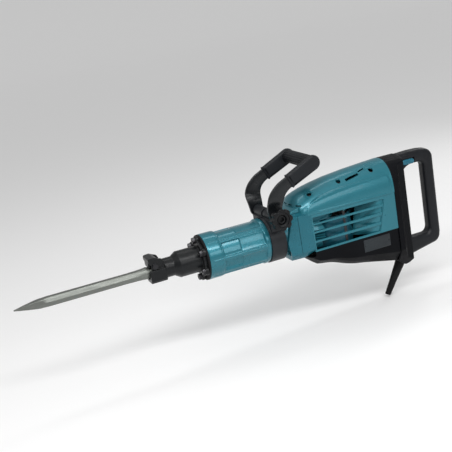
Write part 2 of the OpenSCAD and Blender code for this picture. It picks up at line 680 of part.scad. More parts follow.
// A fillet in one corner of an opening: x, z of the corner, radius, direction of the opening
module corner_fill(x, z, r, sx, sz) translate([x, z]) difference() {
    translate([min(0, sx * r), min(0, sz * r)]) square(r);
    translate([sx * r, sz * r]) circle(r);
}
module hand_opening() difference() {
    translate([hand_x - 1, hand_bottom_z])
        square([grip_front_x - hand_x + 1, hand_top_z - hand_bottom_z]);
    corner_fill(hand_x, hand_top_z, 45, 1, -1);
    corner_fill(grip_front_x, hand_top_z, 12, -1, -1);
    corner_fill(grip_front_x, hand_bottom_z, 16, -1, 1);
}
module handle_outline() difference() {
    polygon([[hand_x, 129.5], [650, 131], [680, 130], [700, 127], [712, 120], [handle_x, 108],
        [handle_x, -108], [716, -124], [706, -136], [668, -143], [632, -150], [hand_x, -155]]);
    hand_opening();
}
slide_hole_low = [620.2, -19, 97.4];
slide_hole_high = [657, 19, 111.6];
module handle_half() difference() {
    union() {
        along_y(fit / 2, handle_half_w - 4) handle_outline();
        along_y(handle_half_w - 4 - eps, handle_half_w) intersection() {
            handle_outline();
            translate([hand_x, -146]) square([handle_x - 3 - hand_x, 273]);
        }
    }
    block(slide_hole_low, slide_hole_high);
    // hollow core of the grip
    block([grip_front_x + 8, -1, -84], [handle_x - 8, 11, 84]);
    for (p = handle_screw_at) rod_y(p[0], p[1], -1, 20, 2.6);
    for (p = handle_screw_at) rod_y(p[0], p[1], 12, 20, 5);
}
handle_screw_at = [[676, 113], [706, 104], [706, -112], [640, -128]];
module handle_near() color("#26272a") mirror([0, 1, 0]) handle_half();
module handle_far() color("#26272a") handle_half();
module handle_screws() color("#3a3b3e") for (p = handle_screw_at) difference() {
    union() {
        rod_y(p[0], p[1], -16, -12 - eps, 4.6);
        rod_y(p[0], p[1], -12.1, 11.9, 2.5);
    }
    translate([p[0], 0, p[1]]) rotate([90, 0, 0]) translate([0, 0, 14]) cylinder(h = 4, r = 2);
}
module switch_slide() color("#2b8fa6") {
    along_y(-21, 12.5) union() {
        translate([627.5, 104.5]) circle(6.6);
        translate([649.7, 104.5]) circle(6.6);
        translate([627.5, 97.9]) square([22.2, 13.2]);
    }
}

// ---- cord guard ----

// Frame of the cord guard: its +Z runs back up into the housing, its -Z towards the mouth
module on_guard() translate(guard_root) rotate([0, guard_dir, 0]) children();
module cord_guard() color("#161616") on_guard() rotate_extrude() polygon([[5.2, 14], [13, 14],
    [13, 2], [9.8, -44], [7.8, -91], [5.2, -91]]);

// ---- side handle ----

module clamp_band() color("#303236") difference() {
    union() {
        rod_x(204, 245, band_r);
        block([210, -56, 30], [242, 56, 58]);
        rod_y(clamp_x, clamp_z, -56, 56, 13);
    }
    rod_x(203, 246, neck_len_r + 0.3);
    block([203, -4, 40], [246, 4, 90]);
    rod_y(clamp_x, clamp_z, -57, 57, 6 + slide_gap);
}
module clamp_bolt() color("#55575a") {
    rod_y(clamp_x, clamp_z, -84, 67.5, 6);
    translate([clamp_x, 0, clamp_z]) rotate([-90, 0, 0]) translate([0, 0, 67.4])
        linear_extrude(8) hexagon(19);
}
module clamp_knob() color("#232426") difference() {
    union() {
        rod_y(clamp_x, clamp_z, -98, -82, knob_r - 3.5);
        for (i = [0:knob_lobes - 1]) let (a = i * 360 / knob_lobes)
            rod_y(clamp_x + (knob_r - 6.5) * cos(a), clamp_z + (knob_r - 6.5) * sin(a), -98, -82, 6.5);
        rod_y(clamp_x, clamp_z, -82.1, -67.2, 13);
    }
    rod_y(clamp_x, clamp_z, -99, -90, 12);
    rod_y(clamp_x, clamp_z, -91, -67, 6 + slide_gap);
}

// Side view of one flat arm: upright foot, bend and straight upper run
arm_slope = 24;
module arm_outline() {
    // round foot about the clamp bolt
    translate([clamp_x, clamp_z]) circle(18);
    polygon([[208, 66], [203, 90], [201, 106], [205, 118], [215, 133], [230, 147], [247, 158],
        [262, 162], [272, 139], [258, 128], [250, 119], [245, 107], [243.5, 90], [244, 66]]);
    translate([cross_x, cross_z]) rotate(arm_slope) {
        translate([-86, -14.5]) square([86, 29]);
        circle(14.5);
    }
}
// End view of the near arms' run: low part close to the tool, upper part further out
arm_low_y = 62.5;
function arm_strip(t) = [[arm_low_y - t / 2, 40], [arm_low_y - t / 2, 88],
    [arm_y - t / 2, 108], [arm_y - t / 2, 260], [arm_y + t / 2, 260],
    [arm_y + t / 2, 106], [arm_low_y + t / 2, 86], [arm_low_y + t / 2, 40]];
module loop_arms() color("#2d2f33") both_sides() difference() {
    intersection() {
        along_y(50, 90) arm_outline();
        along_x(180, 370) polygon(arm_strip(arm_t));
    }
    rod_y(clamp_x, clamp_z, 50, 90, 6.3);
    rod_y(cross_x, cross_z, 50, 90, 5 + fit);
}
module sleeve_outline(grow) translate([cross_x, cross_z]) rotate(arm_slope) {
    translate([-76, -14.5 - grow]) square([76, 29 + 2 * grow]);
    circle(14.5 + grow);
}
module arm_sleeves() color("#1f2023") both_sides() difference() {
    along_y(arm_y - arm_t / 2 - 3.5, arm_y + arm_t / 2 + 3.5) sleeve_outline(3.6);
    along_y(arm_y - arm_t / 2 - fit, arm_y + arm_t / 2 + fit)
        translate([cross_x, cross_z]) rotate(arm_slope) {
            translate([-77, -14.5 - fit]) square([77, 29 + 2 * fit]);
            circle(14.5 + fit);
        }
    rod_y(cross_x, cross_z, 50, 90, 5 + fit);
}
module cross_rod() color("#8b8e92") rod_y(cross_x, cross_z, -79, 79, 5);
module cross_grip() color("#1f2023") difference() {
    rod_y(cross_x, cross_z, -64.3, 64.3, cross_r);
    rod_y(cross_x, cross_z, -65, 65, 5 + fit);
    for (a = [0:24:336]) rod_y(cross_x + cross_r * cos(a), cross_z + cross_r * sin(a), -56, 56, 1.4);
}

bull_point();
tool_holder();
retainer_pins();
tool_retainer();
flange_bolts();
flange_gasket();
barrel();
guide_sleeve();
cylinder_liner();
impact_bolt();
striker();
striker_ring();
piston();
piston_ring();
connecting_rod();
wrist_pin();
crankshaft();
crank_gear();
crank_bearings();
gear_housing();
housing_bolts();
gear_plate();
gear_cover();
idler_shaft();
idler_gear();
idler_bearings();
armature_shaft();
armature_core();
commutator();
cooling_fan();
motor_bearings();
field_stator();
motor_housing();
brush_holders();
carbon_brushes();
top_cowl();
cowl_screws();
side_cover_near();
side_cover_far();
lower_housing();
name_plate();
rear_housing();
rear_cover();
indicator_lamps();
speed_dial();
speed_controller();
switch_module();
handle_near();
handle_far();
handle_screws();
switch_slide();
cord_guard();
clamp_band();
clamp_bolt();
clamp_knob();
loop_arms();
arm_sleeves();
cross_rod();
cross_grip();
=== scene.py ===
"""Looks of the electric jackhammer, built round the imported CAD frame."""
import json
import math

import bmesh
import bpy
import numpy as np
from mathutils import Matrix, Vector


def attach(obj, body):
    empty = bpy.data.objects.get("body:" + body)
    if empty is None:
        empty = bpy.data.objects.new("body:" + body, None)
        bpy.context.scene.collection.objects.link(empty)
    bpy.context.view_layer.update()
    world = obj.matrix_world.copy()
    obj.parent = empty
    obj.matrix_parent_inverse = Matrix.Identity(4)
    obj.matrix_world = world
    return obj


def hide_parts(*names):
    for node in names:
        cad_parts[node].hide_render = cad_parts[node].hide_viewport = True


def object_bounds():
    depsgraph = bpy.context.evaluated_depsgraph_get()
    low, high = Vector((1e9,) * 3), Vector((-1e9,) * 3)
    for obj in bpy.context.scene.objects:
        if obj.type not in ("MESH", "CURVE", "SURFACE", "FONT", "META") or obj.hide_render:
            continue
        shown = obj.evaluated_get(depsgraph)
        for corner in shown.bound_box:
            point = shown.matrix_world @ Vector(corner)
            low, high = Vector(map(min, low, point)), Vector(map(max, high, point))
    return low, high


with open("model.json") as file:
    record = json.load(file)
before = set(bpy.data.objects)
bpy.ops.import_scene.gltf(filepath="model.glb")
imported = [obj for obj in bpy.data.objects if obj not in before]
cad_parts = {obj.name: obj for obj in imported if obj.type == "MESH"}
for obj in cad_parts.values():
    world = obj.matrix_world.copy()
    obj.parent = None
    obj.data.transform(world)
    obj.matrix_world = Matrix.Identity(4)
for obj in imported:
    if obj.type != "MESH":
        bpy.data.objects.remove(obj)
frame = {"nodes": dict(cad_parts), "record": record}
cad_box = [list(v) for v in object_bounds()]
NODES = frame["nodes"]
BODY = {n: b for b, ns in frame["record"]["behaviour"]["bodies"].items() for n in ns}
SLOT = {p["node"]: p["material_slot"] for p in frame["record"]["subparts"]}
SCENE = bpy.context.scene


# ---------------------------------------------------------------- materials
def _node(tree, kind, **inputs):
    n = tree.nodes.new(kind)
    for key, value in inputs.items():
        n.inputs[key.replace("_", " ")].default_value = value
    return n


def _ramp(tree, source, lo, hi, a, b):
    """Maps source from lo..hi to a..b, clamped."""
    m = tree.nodes.new("ShaderNodeMapRange")
    for i, v in enumerate((lo, hi, a, b)):
        m.inputs[i + 1].default_value = v
    tree.links.new(source, m.inputs[0])
    return m.outputs[0]


def _mix(tree, fac, a, b):
    """Mixes two colours; fac, a and b are sockets or plain values."""
    m = tree.nodes.new("ShaderNodeMix")
    m.data_type = "RGBA"
    for socket, value in ((m.inputs[0], fac), (m.inputs[6], a), (m.inputs[7], b)):
        if hasattr(value, "is_linked"):
            tree.links.new(value, socket)
        else:
            socket.default_value = value
    return m.outputs[2]


def _times(tree, a, b):
    m = tree.nodes.new("ShaderNodeMath")
    m.operation = "MULTIPLY"
    tree.links.new(a, m.inputs[0])
    tree.links.new(b, m.inputs[1])
    return m.outputs[0]


def finish_of(name, colour, rough, metal=0.0, coat=0.0, mottle=0.12, mottle_scale=14.0,
              grain=0.0, grain_scale=900.0, wear=None, wear_amount=0.0, stretch=(1, 1, 1),
              rough_var=0.08, spec=0.5, dust=0.0, flake=0.0, edge=0.0012):
    """One procedural finish: mottled colour, grain bump, worn edges and settled dust."""
    mat = bpy.data.materials.new(name)
    mat.use_nodes = True
    t = mat.node_tree
    bsdf = t.nodes["Principled BSDF"]
    bsdf.inputs["Metallic"].default_value = metal
    bsdf.inputs["Specular IOR Level"].default_value = spec
    bsdf.inputs["Coat Weight"].default_value = coat
    bsdf.inputs["Coat Roughness"].default_value = 0.09
    where = t.nodes.new("ShaderNodeTexCoord").outputs["Object"]
    if stretch != (1, 1, 1):
        mp = t.nodes.new("ShaderNodeMapping")
        mp.inputs["Scale"].default_value = stretch
        t.links.new(where, mp.inputs["Vector"])
        stretched = mp.outputs[0]
    else:
        stretched = where
    broad = _node(t, "ShaderNodeTexNoise", Scale=mottle_scale, Detail=5.0, Roughness=0.6)
    fine = _node(t, "ShaderNodeTexNoise", Scale=grain_scale, Detail=3.0, Roughness=0.55)
    smear = _node(t, "ShaderNodeTexNoise", Scale=mottle_scale * 4.3, Detail=6.0, Roughness=0.7)
    for n in (broad, smear, fine):
        t.links.new(stretched, n.inputs["Vector"])
    c = Vector(colour)
    dark, light = (*(c * (1 - mottle)), 1), (*(c * (1 + mottle)), 1)
    colour_out = _mix(t, _ramp(t, broad.outputs["Fac"], 0.3, 0.7, 0, 1), dark, light)
    if flake:
        spark = _node(t, "ShaderNodeTexVoronoi", Scale=2600.0)
        t.links.new(where, spark.inputs["Vector"])
        colour_out = _mix(t, _ramp(t, spark.outputs["Distance"], 0.0, 0.35, flake, 0.0),
                          colour_out, (*(c * 1.9 + Vector((0.03,) * 3)), 1))
    if wear is not None:
        bev = _node(t, "ShaderNodeBevel", Radius=edge)
        bev.samples = 4
        geo = t.nodes.new("ShaderNodeNewGeometry")
        dot = t.nodes.new("ShaderNodeVectorMath")
        dot.operation = "DOT_PRODUCT"
        t.links.new(bev.outputs[0], dot.inputs[0])
        t.links.new(geo.outputs["Normal"], dot.inputs[1])
        near = _ramp(t, dot.outputs["Value"], 0.995, 0.90, 0, 1)
        patch = _ramp(t, smear.outputs["Fac"], 0.42, 0.62, 0, wear_amount)
        colour_out = _mix(t, _times(t, near, patch), colour_out, (*wear, 1))
    if dust:
        geo = t.nodes.new("ShaderNodeNewGeometry")
        up = t.nodes.new("ShaderNodeSeparateXYZ")
        t.links.new(geo.outputs["Normal"], up.inputs[0])
        top = _ramp(t, up.outputs["Z"], 0.2, 1.0, 0, dust)
        grit = _ramp(t, smear.outputs["Fac"], 0.35, 0.75, 0, 1)
        colour_out = _mix(t, _times(t, top, grit), colour_out, (*DUST, 1))
    t.links.new(colour_out, bsdf.inputs["Base Color"])
    t.links.new(_ramp(t, smear.outputs["Fac"], 0.25, 0.75, max(rough - rough_var, 0.02),
                      min(rough + rough_var, 1)), bsdf.inputs["Roughness"])
    if grain:
        bump = _node(t, "ShaderNodeBump", Strength=grain, Distance=0.0004)
        t.links.new(fine.outputs["Fac"], bump.inputs["Height"])
        t.links.new(bump.outputs[0], bsdf.inputs["Normal"])
    return mat


DUST = (0.33, 0.31, 0.28)
TEAL = (0.017, 0.146, 0.188)
# the same teal paint made darker: painted shade for the gear housing's upright sides
SHADED_TEAL = (0.011, 0.118, 0.158)
STEEL = (0.42, 0.43, 0.41)
BARE = (0.20, 0.20, 0.20)


def make_finishes():
    f = finish_of
    return {
        "bit_steel": f("forged_bit", (0.182, 0.192, 0.177), 0.46, 0.85, mottle=0.14, mottle_scale=30,
                       grain=0.35, grain_scale=420, stretch=(0.12, 1, 1), rough_var=0.12,
                       wear=(0.62, 0.62, 0.58), wear_amount=0.6),
        "black_casting": f("black_casting", (0.0060, 0.0070, 0.0080), 0.32, 0.1, spec=0.26,
                           grain=0.5, grain_scale=520, mottle=0.25, wear=BARE, wear_amount=0.25,
                           dust=0.02),
        "dark_fasteners": f("black_oxide", (0.035, 0.035, 0.038), 0.32, 0.9, grain=0.25,
                            grain_scale=1500, wear=STEEL, wear_amount=0.35, edge=0.0006),
        "gasket_rubber": f("gasket", (0.006, 0.006, 0.007), 0.7, spec=0.2, grain=0.3),
        "barrel_paint": f("barrel_enamel", TEAL, 0.29, 0.40, coat=0.4, spec=0.3, mottle=0.05,
                          grain=0.05, grain_scale=380, wear=(0.20, 0.36, 0.40),
                          wear_amount=0.12, flake=0.05),
        # the gear housing is the barrel's teal paint in a darker copy, which is painted shade
        "gear_housing_paint": f("housing_enamel_shaded", SHADED_TEAL, 0.30, 0.30, coat=0.2, spec=0.25,
                                mottle=0.05, grain=0.08, grain_scale=420,
                                wear=(0.20, 0.36, 0.40), wear_amount=0.18, flake=0.05),
        "machined_steel": f("ground_steel", (0.50, 0.50, 0.50), 0.24, 1.0, grain=0.2,
                            grain_scale=700, stretch=(0.2, 1, 1), mottle=0.06),
        "gear_steel": f("oiled_gear_steel", (0.33, 0.32, 0.29), 0.26, 1.0, grain=0.2,
                        wear=(0.6, 0.59, 0.56), wear_amount=0.5, edge=0.0005),
        "bearing_steel": f("bearing_steel", (0.60, 0.61, 0.62), 0.16, 1.0, grain=0.08),
        "seal_rubber": f("seal_rubber", (0.02, 0.02, 0.02), 0.45, grain=0.15),
        "cast_plate": f("cast_alloy", (0.40, 0.405, 0.40), 0.48, 0.9, grain=0.7, grain_scale=600),
        "winding_copper": f("copper_winding", (0.46, 0.20, 0.085), 0.34, 0.9, grain=0.9,
                            grain_scale=1600, stretch=(1, 1, 0.15)),
        "stator_iron": f("stator_laminations", (0.16, 0.125, 0.10), 0.5, 0.6, grain=0.8,
                         grain_scale=1300, stretch=(0.1, 0.1, 1)),
        "fan_plastic": f("fan_plastic", (0.03, 0.031, 0.034), 0.5, grain=0.2),
        "motor_cup_plastic": f("motor_cup", (0.006, 0.080, 0.115), 0.38, 0.3, coat=0.1,
                               spec=0.3, grain=0.12, grain_scale=600, mottle=0.1, flake=0.04),
        "brush_brass": f("brush_brass", (0.55, 0.40, 0.16), 0.33, 1.0, grain=0.2),
        "carbon": f("carbon", (0.02, 0.02, 0.021), 0.6, grain=0.4),
        "cover_plastic": f("cover_lacquer", TEAL, 0.32, 0.34, coat=0.3, spec=0.3, mottle=0.04,
                           mottle_scale=7, grain=0.04, grain_scale=520,
                           wear=(0.16, 0.34, 0.38), wear_amount=0.20, flake=0.05),
        "black_plastic": f("black_moulding", (0.0034, 0.0038, 0.0050), 0.42, spec=0.07,
                           grain=0.45, grain_scale=1250, mottle=0.2, wear=(0.04, 0.04, 0.045),
                           wear_amount=0.4, dust=0.01),
        "plate_alloy": f("blank_plate", (0.026, 0.031, 0.035), 0.42, 0.3, spec=0.25, grain=0.12,
                         mottle=0.1),
        "lamp_red": f("lamp_lens", (0.36, 0.03, 0.02), 0.14, coat=0.6, mottle=0.05),
        "dial_plastic": f("dial_plastic", (0.018, 0.019, 0.022), 0.42, spec=0.25, grain=0.3,
                          wear=(0.1, 0.1, 0.1), wear_amount=0.5),
        "module_plastic": f("module_plastic", (0.03, 0.04, 0.045), 0.5, grain=0.3),
        "handle_plastic": f("handle_moulding", (0.0060, 0.0070, 0.0090), 0.36, spec=0.24,
                            grain=0.5, grain_scale=1100, mottle=0.2, wear=(0.05, 0.05, 0.055),
                            wear_amount=0.35, dust=0.015),
        "switch_plastic": f("switch_plastic", (0.012, 0.115, 0.170), 0.32, spec=0.3, coat=0.2,
                            grain=0.12),
        "guard_rubber": f("guard_rubber", (0.0060, 0.0060, 0.0064), 0.5, spec=0.14, grain=0.5,
                          grain_scale=1300),
        "band_paint": f("band_enamel", (0.0150, 0.0170, 0.0200), 0.44, 0.2, spec=0.28,
                        grain=0.35, grain_scale=650, wear=BARE, wear_amount=0.2),
        "zinc_steel": f("zinc_steel", (0.46, 0.46, 0.45), 0.33, 1.0, grain=0.25, mottle=0.12),
        "knob_plastic": f("knob_moulding", (0.0050, 0.0055, 0.0065), 0.32, spec=0.20,
                          grain=0.45, grain_scale=1200, wear=(0.06, 0.06, 0.065),
                          wear_amount=0.5),
        "arm_paint": f("arm_enamel", (0.0085, 0.0100, 0.0115), 0.30, 0.2, coat=0.15, spec=0.3,
                       grain=0.08, grain_scale=320),
        "grip_rubber": f("grip_rubber", (0.0080, 0.0095, 0.0118), 0.46, spec=0.22, grain=0.7,
                         grain_scale=950, mottle=0.18, dust=0.02),
    }


FINISH = make_finishes()


# ---------------------------------------------------------------- mesh helpers
def new_object(name, verts, faces):
    me = bpy.data.meshes.new(name)
    me.from_pydata([tuple(v) for v in verts], [], faces)
    me.validate()
    o = bpy.data.objects.new(name, me)
    SCENE.collection.objects.link(o)
    return o


def bake_modifiers(o):
    bpy.context.view_layer.update()
    me = bpy.data.meshes.new_from_object(o.evaluated_get(bpy.context.evaluated_depsgraph_get()))
    o.modifiers.clear()
    old, o.data = o.data, me
    bpy.data.meshes.remove(old)
    return o


# faces that meet at less than this many degrees are merged before a bevel
FLAT = 0.4


def clean(o, weld=1e-5, flat=None):
    """Welds, merges nearly coplanar faces if asked, and turns the normals outwards."""
    bm = bmesh.new()
    bm.from_mesh(o.data)
    bmesh.ops.remove_doubles(bm, verts=bm.verts, dist=weld)
    bmesh.ops.dissolve_degenerate(bm, edges=bm.edges, dist=1e-6)
    if flat:
        bmesh.ops.dissolve_limit(bm, angle_limit=math.radians(flat), verts=bm.verts,
                                 edges=bm.edges, delimit=set())
    bmesh.ops.recalc_face_normals(bm, faces=bm.faces)
    bm.to_mesh(o.data)
    bm.free()
    return o


def smooth_shade(o, angle):
    """Smooth shading with sharp edges above the angle."""
    me = o.data
    me.polygons.foreach_set("use_smooth", [True] * len(me.polygons))
    bm = bmesh.new()
    bm.from_mesh(me)
    limit = math.radians(angle)
    for e in bm.edges:
        e.smooth = not (e.is_manifold and e.calc_face_angle(0) > limit)
    bm.to_mesh(me)
    bm.free()
    return o


def bevel(o, width, segments=2):
    """Rounds every edge sharper than 32 degrees by a width in mm."""
    m = o.modifiers.new("bevel", "BEVEL")
    m.width, m.segments, m.limit_method = width * 0.001, segments, "ANGLE"
    m.angle_limit = math.radians(32)
    m.use_clamp_overlap = True
    m.harden_normals = False
    bake_modifiers(o)
    return smooth_shade(o, 42)


def from_node(name, node):
    """A new mesh with the shape of a CAD node, without its normals and slots."""
    me = NODES[node].data
    verts = [v.co.copy() for v in me.vertices]
    return clean(new_object(name, verts, [list(p.vertices) for p in me.polygons]))


def cut(o, *cutters):
    for c in cutters:
        m = o.modifiers.new("cut", "BOOLEAN")
        m.operation, m.object, m.solver = "DIFFERENCE", c, "EXACT"
        bake_modifiers(o)
        bpy.data.objects.remove(c)
    return o


def join(name, parts):
    verts, faces = [], []
    for p in parts:
        base = len(verts)
        verts += [p.matrix_world @ v.co for v in p.data.vertices]
        faces += [[base + i for i in f.vertices] for f in p.data.polygons]
        bpy.data.objects.remove(p)
    return new_object(name, verts, faces)


def fillet(points, radius, n=5):
    """A closed outline with round corners in n steps; radius is one number or one per corner."""
    out = []
    k = len(points)
    for i, p in enumerate(points):
        r = radius[i] if hasattr(radius, "__len__") else radius
        p, a, b = Vector(p), Vector(points[i - 1]), Vector(points[(i + 1) % k])
        u, v = (a - p), (b - p)
        lu, lv = u.length, v.length
        if r <= 0 or lu < 1e-6 or lv < 1e-6:
            out.append(tuple(p))
            continue
        u, v = u / lu, v / lv
        half = math.acos(max(-1, min(1, u.dot(v)))) / 2
        if half > math.radians(88) or half < 1e-3:
            out.append(tuple(p))
            continue
        d = min(r / math.tan(half), 0.48 * lu, 0.48 * lv)
        rr = d * math.tan(half)
        centre = p + (u + v).normalized() * (rr / math.sin(half))
        a0 = (p + u * d) - centre
        a1 = (p + v * d) - centre
        turn = math.atan2(a0.x * a1.y - a0.y * a1.x, a0.dot(a1))
        for j in range(n + 1):
            t = turn * j / n
            c, s = math.cos(t), math.sin(t)
            out.append((centre.x + a0.x * c - a0.y * s, centre.y + a0.x * s + a0.y * c))
    return out


def spline(points, n):
    """A smooth curve through the points, n steps to a span."""
    pts = [Vector(p) for p in points]
    pts = [2 * pts[0] - pts[1]] + pts + [2 * pts[-1] - pts[-2]]
    out = []
    for i in range(1, len(pts) - 2):
        a, b, c, d = pts[i - 1:i + 3]
        for j in range(n):
            t = j / n
            q = b * 2 + (c - a) * t + (2 * a - 5 * b + 4 * c - d) * t ** 2
            out.append(tuple((q + (3 * b - a - 3 * c + d) * t ** 3) / 2))
    return out + [tuple(pts[-2])]


def circle(x, y, r, n, start=0.0):
    return [(x + r * math.cos(start + 2 * math.pi * i / n),
             y + r * math.sin(start + 2 * math.pi * i / n)) for i in range(n)]


# each axis with the two directions of an outline drawn across it
AXES = {"Y": ((1, 0, 0), (0, 0, 1), (0, 1, 0)), "Z": ((1, 0, 0), (0, 1, 0), (0, 0, 1))}


def slab(name, loops, d0, d1, round_, axis="Y", steps=3):
    """Extrudes closed outlines (mm) from d0 to d1 along an axis, with rounded rims."""
    cu = bpy.data.curves.new(name, "CURVE")
    cu.dimensions, cu.fill_mode = "2D", "BOTH"
    for loop in loops:
        sp = cu.splines.new("POLY")
        sp.points.add(len(loop) - 1)
        for pt, (u, v) in zip(sp.points, loop):
            pt.co = (u * 0.001, v * 0.001, 0, 1)
        sp.use_cyclic_u = True
    cu.extrude = ((d1 - d0) / 2 - round_) * 0.001
    cu.bevel_depth, cu.bevel_resolution, cu.offset = round_ * 0.001, steps, -round_ * 0.001
    tmp = bpy.data.objects.new(name + "_tmp", cu)
    SCENE.collection.objects.link(tmp)
    bpy.context.view_layer.update()
    me = bpy.data.meshes.new_from_object(
        tmp.evaluated_get(bpy.context.evaluated_depsgraph_get()))
    bpy.data.objects.remove(tmp)
    bpy.data.curves.remove(cu)
    u, v, w = (Vector(a) for a in AXES[axis])
    mid = (d0 + d1) / 2 * 0.001
    verts = [u * p.co.x + v * p.co.y + w * (p.co.z + mid) for p in me.vertices]
    faces = [list(f.vertices) for f in me.polygons]
    bpy.data.meshes.remove(me)
    return smooth_shade(clean(new_object(name, verts, faces), 2e-6), 40)


def tube_faces(rings, steps, closed=False):
    """Quads between rings of vertices; closed also joins the last ring to the first."""
    faces = []
    for j in range(rings if closed else rings - 1):
        a, b = j * steps, (j + 1) % rings * steps
        for i in range(steps):
            k = (i + 1) % steps
            faces.append((a + i, a + k, b + k, b + i))
    return faces


def capped_tube(name, verts, steps, sharp):
    """A solid from rings of vertices, with flat ends and sharp edges above an angle."""
    rings = len(verts) // steps
    faces = tube_faces(rings, steps)
    faces += [tuple(range(steps)), tuple(range((rings - 1) * steps, rings * steps))]
    return smooth_shade(clean(new_object(name, verts, faces)), sharp)


def lathe(name, profile, axis, at, steps):
    """Turns an open profile [(along, radius)] in mm about an axis; its ends are closed."""
    u, v, w = (Vector(a) for a in AXES[axis])
    c = u * at[0] * 0.001 + v * at[1] * 0.001
    verts = []
    for a, r in profile:
        for i in range(steps):
            t = 2 * math.pi * i / steps
            verts.append(c + (w * a + u * r * math.cos(t) + v * r * math.sin(t)) * 0.001)
    return capped_tube(name, verts, steps, 35)


def box_mesh(name, lo, hi):
    x, y, z = zip(lo, hi)
    verts = [Vector((x[i], y[j], z[k])) * 0.001 for i in (0, 1) for j in (0, 1) for k in (0, 1)]
    faces = [(0, 1, 3, 2), (4, 6, 7, 5), (0, 4, 5, 1), (2, 3, 7, 6), (0, 2, 6, 4), (1, 5, 7, 3)]
    return clean(new_object(name, verts, faces))


def side_box(name, side, x, y, z):
    """A box from ranges in mm; y counts outwards from the middle plane on that side."""
    y0, y1 = sorted(side * v for v in y)
    return box_mesh(name, (x[0], y0, z[0]), (x[1], y1, z[1]))


def hexahedron(name, corners):
    """Eight corners in mm: four of the low end in turn, then four of the high end."""
    faces = [(0, 1, 2, 3), (4, 7, 6, 5), (0, 4, 5, 1), (1, 5, 6, 2), (2, 6, 7, 3), (3, 7, 4, 0)]
    return clean(new_object(name, [Vector(c) * 0.001 for c in corners], faces))


def bend_points(o, move):
    """Moves every vertex by a function of its place in mm."""
    for v in o.data.vertices:
        v.co = Vector(move(*(v.co * 1000))) * 0.001
    o.data.update()
    return o


def mirrored(o, name):
    verts = [Vector((v.co.x, -v.co.y, v.co.z)) for v in o.data.vertices]
    faces = [list(reversed(f.vertices)) for f in o.data.polygons]
    return smooth_shade(new_object(name, verts, faces), 42)


def extra(o, node, slot):
    """A piece with the finish of a slot, which rides on the node's body."""
    o.data.materials.clear()
    o.data.materials.append(FINISH[slot])
    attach(o, BODY[node])
    return o


def dress(o, node, *also):
    """A piece that stands for one or more CAD nodes."""
    extra(o, node, SLOT[node])
    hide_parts(node, *also)
    return o


def bevelled(name, node, width, segments=2):
    """The CAD shape with its corners broken by a width in mm."""
    o = clean(from_node(name, node), 1e-5, FLAT)
    return dress(bevel(o, width, segments), node)


def casting(name, node, voxel, rounds, keep, shape=None):
    """The CAD shape with every edge rounded by about one voxel (mm), then thinned to keep."""
    o = from_node(name, node)
    m = o.modifiers.new("voxel", "REMESH")
    m.mode, m.voxel_size, m.adaptivity = "VOXEL", voxel * 0.001, 0.0
    s = o.modifiers.new("smooth", "SMOOTH")
    s.factor, s.iterations = 0.5, rounds
    bake_modifiers(o)
    if shape:
        bend_points(o, shape)
    d = o.modifiers.new("fewer", "DECIMATE")
    d.ratio = keep
    bake_modifiers(o)
    return dress(smooth_shade(o, 60), node)


def smooth_step(a, b, x):
    t = min(max((x - a) / (b - a), 0.0), 1.0)
    return t * t * (3 - 2 * t)


# ---------------------------------------------------------------- top cowl
# stations of the cowl: x, half width at the seam, top
COWL = np.array([(284.7, 6, 56), (284.8, 20, 66), (285, 30, 72), (287, 42, 77), (290, 50, 82),
                 (295, 57, 88), (301, 60, 93), (317, 61.5, 100), (338, 62, 106.5),
                 (364, 62, 112.5), (403, 62, 119), (462, 62, 125), (522, 62.5, 129),
                 (561, 63, 131)], float)
# height of the cowl's lower edge, power of its superellipse sections, wall thickness
SEAM, POWER, COWL_WALL = 48.0, 2.3, 2.8
# outline of the flat side panel
PANEL = [(306, 40), (308, 57), (315, 69), (329, 79), (350, 86), (385, 92.5), (420, 96), (470, 97.5),
         (520, 97), (548, 95), (552, 86), (553, 40)]
COWL_SCREWS, SCREW_Y = [(332, 89), (417, 100), (513, 106)], 38
# sloping slots: x range, low front corner, height, rise to the rear, y range
COWL_SLOTS = [(436, 476, 103.5, 6.0, 7.0, 34, 64), (479, 498, 115.5, 3.2, 3.6, 24, 58)]
NOSE_SLOTS = [(5, 22), (35, 52)]


def inside_distance(poly, x, z):
    """Distance into a polygon, negative outside."""
    best, inside = 1e9, False
    for i, (x1, z1) in enumerate(poly):
        x0, z0 = poly[i - 1]
        dx, dz = x1 - x0, z1 - z0
        t = min(max(((x - x0) * dx + (z - z0) * dz) / (dx * dx + dz * dz), 0), 1)
        best = min(best, math.hypot(x - x0 - t * dx, z - z0 - t * dz))
        if (z0 > z) != (z1 > z) and x < (x1 - x0) * (z - z0) / (z1 - z0) + x0:
            inside = not inside
    return best if inside else -best


def cowl_relief(x, y, z):
    """Height in mm of the moulded relief on the cowl."""
    h = 0.0
    if 336 < x < 540 and z < 58:
        ends = smooth_step(336, 345, x) * (1 - smooth_step(528, 540, x))
        h += 1.3 * ends * math.exp(-((z - 52.2 + 0.0155 * (x - 341)) / 1.5) ** 2)
    if 500 < x < 540 and z > 118:
        ends = smooth_step(505, 508, x) * (1 - smooth_step(531, 534, x))
        for g in (14, 21, 28):
            h -= 1.3 * ends * math.exp(-((abs(y) - g) / 1.1) ** 2)
    return h


def panel_shift(x, y, z, w):
    """How far in mm the flat side panel stands out sideways from the round shoulder."""
    if abs(y) < 40 or z > 102:
        return 0.0
    out = max(1.3, w - 0.135 * (z - SEAM) - abs(y))
    return math.copysign(out * smooth_step(-1.3, 1.3, inside_distance(PANEL, x, z)), y)


def smoothed(field):
    """The field with every inner value averaged with its four neighbours."""
    out = field.copy()
    out[1:-1, 1:-1] = (2 * field[1:-1, 1:-1] + field[:-2, 1:-1] + field[2:, 1:-1]
                       + field[1:-1, :-2] + field[1:-1, 2:]) / 6
    return out


